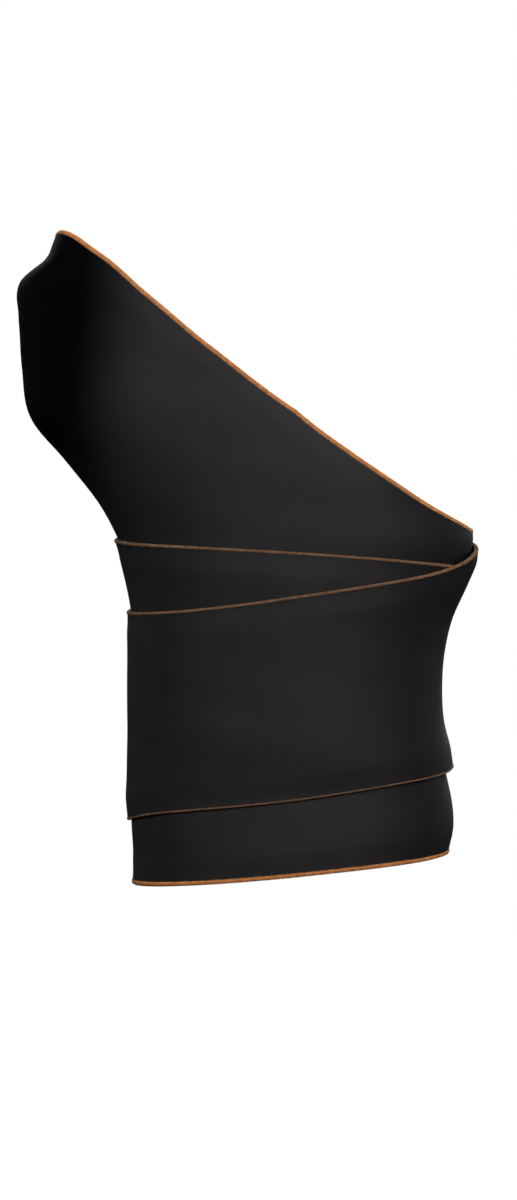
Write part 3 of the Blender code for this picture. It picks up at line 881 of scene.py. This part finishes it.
def stitch_tree():
    """Arched stitches along a path, each leaning by the same angle to alternate sides."""
    tree, given, made = new_tree(
        "stitches",
        [("Spacing", "NodeSocketFloat"), ("Thread diameter", "NodeSocketFloat"),
         ("Stitch length", "NodeSocketFloat"), ("Lean", "NodeSocketFloat"),
         ("Material", "NodeSocketMaterial")],
    )
    points, facing = spaced_points(tree, given, "X", "Z")
    number = add_node(tree, "GeometryNodeInputIndex")
    odd = add_node(tree, "ShaderNodeMath", {0: number.outputs[0]}, {1: 2.0}, operation="MODULO")
    sign = add_node(
        tree, "ShaderNodeMath", {0: odd.outputs[0]}, {1: 2.0, 2: -1.0}, operation="MULTIPLY_ADD"
    )
    lean = add_node(
        tree, "ShaderNodeMath", {0: sign.outputs[0], 1: given.outputs["Lean"]}, operation="MULTIPLY"
    )
    turned = turned_by(tree, facing, "Z", lean)
    half = add_node(
        tree, "ShaderNodeMath", {0: given.outputs["Stitch length"]}, {1: 0.5}, operation="MULTIPLY"
    )
    back = add_node(tree, "ShaderNodeMath", {0: half.outputs[0]}, {1: -1.0}, operation="MULTIPLY")
    dip = add_node(
        tree, "ShaderNodeMath", {0: given.outputs["Thread diameter"]}, {1: -1.0}, operation="MULTIPLY"
    )
    start = add_node(tree, "ShaderNodeCombineXYZ", {"X": back.outputs[0], "Z": dip.outputs[0]})
    peak = add_node(tree, "ShaderNodeCombineXYZ", {"Z": given.outputs["Thread diameter"]})
    end = add_node(tree, "ShaderNodeCombineXYZ", {"X": half.outputs[0], "Z": dip.outputs[0]})
    arch = add_node(
        tree, "GeometryNodeCurveQuadraticBezier",
        {"Start": start.outputs[0], "Middle": peak.outputs[0], "End": end.outputs[0]},
        {"Resolution": ARCH_STEPS},
    )
    thread_at_points(
        tree, given, made, points, turned, arch, STITCH_THREAD_SIDES, values={"Fill Caps": True}
    )
    return tree


STITCHES = stitch_tree()
print(STITCHES.name, "has", len(STITCHES.nodes), "nodes")

# %% [markdown]
# A zigzag is the same arched stitch turned far to each side in turn, so that the threads meet in points.
# The row round the tab's edge keeps every stitch along its line, as a lockstitch does.

# %% The seams
STITCH_THREAD = 0.00032
ZIGZAG = {"Spacing": 0.0011, "Stitch length": 0.0034, "Lean": 1.2}
LOCKSTITCH = {"Spacing": 0.0022, "Stitch length": 0.0019, "Lean": 0.0}
SEAM_POINTS, SEAM_END_SHARE, START_SEAM_INSET = 60, 0.03, 0.0022
TAB_ROW_INSET, TAB_ROW_START = 0.0015, 0.2


def seam(name, turns, heights, thickness, **values):
    """Black stitches on the outer face of the strap or the tab, along this line."""
    points = on_form(turns, heights, strap_lift(turns, heights) + thickness)
    path = thread_path(name, points, form_normal(turns, heights), closed=False)
    return sewn(path, STITCHES, **{"Thread diameter": STITCH_THREAD, "Material": BLACK_THREAD, **values})


seam_share = np.linspace(SEAM_END_SHARE, 1 - SEAM_END_SHARE, SEAM_POINTS)
start_turn = np.full(SEAM_POINTS, STRAP_START_TURN + START_SEAM_INSET / waist)
low, high = strap_edges(start_turn)
start_seam = seam(
    "strap_start_seam", start_turn, low + (high - low) * seam_share, CLOTH_THICKNESS, **ZIGZAG
)
tab_turn = np.full(SEAM_POINTS, STRAP_END_TURN)
tab_heights = TAB_MIDDLE_HEIGHT + (seam_share - 0.5) * TAB_WIDTH
tab_seam = seam("tab_joining_seam", tab_turn, tab_heights, TAB_THICKNESS, **ZIGZAG)
out_along, up_across = np.linspace(TAB_ROW_START, 1, 30), np.linspace(0, 1, 40)
walk_along = np.concatenate([out_along, np.ones_like(up_across), out_along[::-1]])
walk_across = np.concatenate([np.zeros_like(out_along), up_across, np.ones_like(out_along)])
turns, heights = tab_place(walk_along, walk_across)
turns = TAB_START_TURN + (turns - TAB_START_TURN) * (1 - TAB_ROW_INSET / TAB_LENGTH)
heights = TAB_MIDDLE_HEIGHT + (heights - TAB_MIDDLE_HEIGHT) * (1 - 2 * TAB_ROW_INSET / TAB_WIDTH)
tab_row = seam("tab_edge_stitches", turns, heights, TAB_THICKNESS, **LOCKSTITCH)
print("seams:", start_seam.name, tab_seam.name, tab_row.name)

# %% [markdown]
# Each piece now takes its place in the model: it rides on the one body and stands for its solid,
# which is hidden.

# %% Pieces in the model
for piece, node, slot in (
    (sleeve, "sleeve", "stretch_cloth"),
    (strap, "wrist_strap", "stretch_cloth"),
    (tab, "closing_tab", "hook_tape"),
    (upper_edging, "upper_edge_trim", "edging"),
    (lower_edging, "lower_edge_trim", "edging"),
    (strap_upper_edging, "strap_upper_trim", "edging"),
    (strap_lower_edging, "strap_lower_trim", "edging"),
    (thumb_edging, None, "stretch_cloth"),
    (start_seam, None, "stretch_cloth"),
    (tab_seam, None, "hook_tape"),
    (tab_row, None, "hook_tape"),
):
    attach(piece, "root")
    if node:
        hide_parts(node)

# %% [markdown]
# The studio is a pale floor that curves up into a wall all round, so that the brace stands before plain
# white from every side. The white surround isn't seen by diffuse or glossy rays, so it doesn't wash out
# the black cloth.

# %% The pale floor and wall
def studio_paper():
    """Seamless white paper that is lit evenly from behind, so it shows plain white."""
    material = bpy.data.materials.new("white studio paper")
    material.use_nodes = True
    shader = material.node_tree.nodes["Principled BSDF"]
    shader.inputs["Base Color"].default_value = colour("#101010")
    shader.inputs["Roughness"].default_value = 0.9
    shader.inputs["Emission Color"].default_value = colour("#ffffff")
    shader.inputs["Emission Strength"].default_value = 1.0
    return material


FLOOR_DROP, FLAT_RADIUS, BEND_RADIUS, WALL_RISE, FLOOR_STEPS = 0.25, 0.6, 1.5, 4.0, 64
bend = np.linspace(0, math.pi / 2, 13)
profile = [(FLAT_RADIUS, 0.0)]
profile += [(BEND_RADIUS * (1 + math.sin(b)), BEND_RADIUS * (1 - math.cos(b))) for b in bend]
profile += [(2 * BEND_RADIUS, WALL_RISE)]
round_floor = [2 * math.pi * step / FLOOR_STEPS for step in range(FLOOR_STEPS)]
vertices = [
    (radius * math.cos(angle), radius * math.sin(angle), rise - FLOOR_DROP)
    for radius, rise in profile for angle in round_floor
]
faces = [tuple(range(FLOOR_STEPS))]
for inner in range(0, (len(profile) - 1) * FLOOR_STEPS, FLOOR_STEPS):
    for step in range(FLOOR_STEPS):
        after = (step + 1) % FLOOR_STEPS
        outer = inner + FLOOR_STEPS
        faces.append((inner + step, inner + after, outer + after, outer + step))
mesh = bpy.data.meshes.new("studio_floor")
mesh.from_pydata(vertices, [], faces)
mesh.shade_smooth()
mesh.materials.append(studio_paper())
floor = bpy.data.objects.new("studio_floor", mesh)
bpy.context.scene.collection.objects.link(floor)
floor.visible_diffuse = floor.visible_glossy = floor.visible_shadow = False
print("floor at", -FLOOR_DROP, "m")

# %% [markdown]
# The photograph's light is soft and comes from the front, a little to the right: the cloth is brightest
# in a broad band right of its middle and falls off to both sides, and the strap's edges throw a soft
# shadow downwards. Weak boxes at the left and right give the faint light on both outlines. Those at the
# back and the top light what the photograph doesn't show.

# %% The soft boxes
LAMP_DISTANCE, LAMP_SIZE, AIM = 1.4, 0.6, Vector((0, 0, 0.02))
LAMP_COLUMNS = ("name", "azimuth", "elevation", "watts")
LAMPS = (
    ("key", 20, 22, 11),
    ("front left", -30, 28, 5.8),
    ("right", 122, 5, 1.2),
    ("left", -118, 10, 1.1),
    ("back left", -165, 20, 2),
    ("back", 165, 25, 18),
    ("top", 0, 85, 3),
)
WORLD_STRENGTH = 0.02


def soft_box(name, azimuth, elevation, watts):
    """A square area light that looks at the brace. Azimuth 0 is the front, and 90 the right."""
    light = bpy.data.lights.new(name, "AREA")
    light.size, light.energy = LAMP_SIZE, watts
    lamp = bpy.data.objects.new(name, light)
    a, e = math.radians(azimuth), math.radians(elevation)
    direction = Vector((math.sin(a) * math.cos(e), -math.cos(a) * math.cos(e), math.sin(e)))
    spot = direction * LAMP_DISTANCE + AIM
    facing = (AIM - spot).to_track_quat("-Z", "Y").to_matrix().to_4x4()
    lamp.matrix_world = Matrix.Translation(spot) @ facing
    bpy.context.scene.collection.objects.link(lamp)


for row in LAMPS:
    soft_box(**dict(zip(LAMP_COLUMNS, row)))
world = bpy.data.worlds.new("dim studio")
world.use_nodes = True
world.node_tree.nodes["Background"].inputs["Color"].default_value = colour("#ffffff")
world.node_tree.nodes["Background"].inputs["Strength"].default_value = WORLD_STRENGTH
bpy.context.scene.world = world
bpy.context.scene.view_settings.view_transform = "Standard"

# %% [markdown]
# The photograph was taken from straight in front and slightly above, through a long lens. Its scale is
# 5.2 pixels to the millimetre, which gives the height of the view, and from that the focal length at this
# distance.

# %% The camera
PIXELS_PER_METRE, PHOTO_HEIGHT, SENSOR_HEIGHT = 5200, 1200, 36
TARGET = Vector((-0.0049, 0, 0.0192))
DISTANCE, ELEVATION = 1.1, math.radians(3)
camera = bpy.data.objects.new("camera", bpy.data.cameras.new("camera"))
camera.data.sensor_fit, camera.data.sensor_height = "VERTICAL", SENSOR_HEIGHT
camera.data.lens = SENSOR_HEIGHT * DISTANCE / (PHOTO_HEIGHT / PIXELS_PER_METRE)
camera.location = TARGET + DISTANCE * Vector((0, -math.cos(ELEVATION), math.sin(ELEVATION)))
camera.rotation_euler = (math.pi / 2 - ELEVATION, 0, 0)
bpy.context.scene.collection.objects.link(camera)
bpy.context.scene.camera = camera
print("focal length:", round(camera.data.lens, 1), "mm")
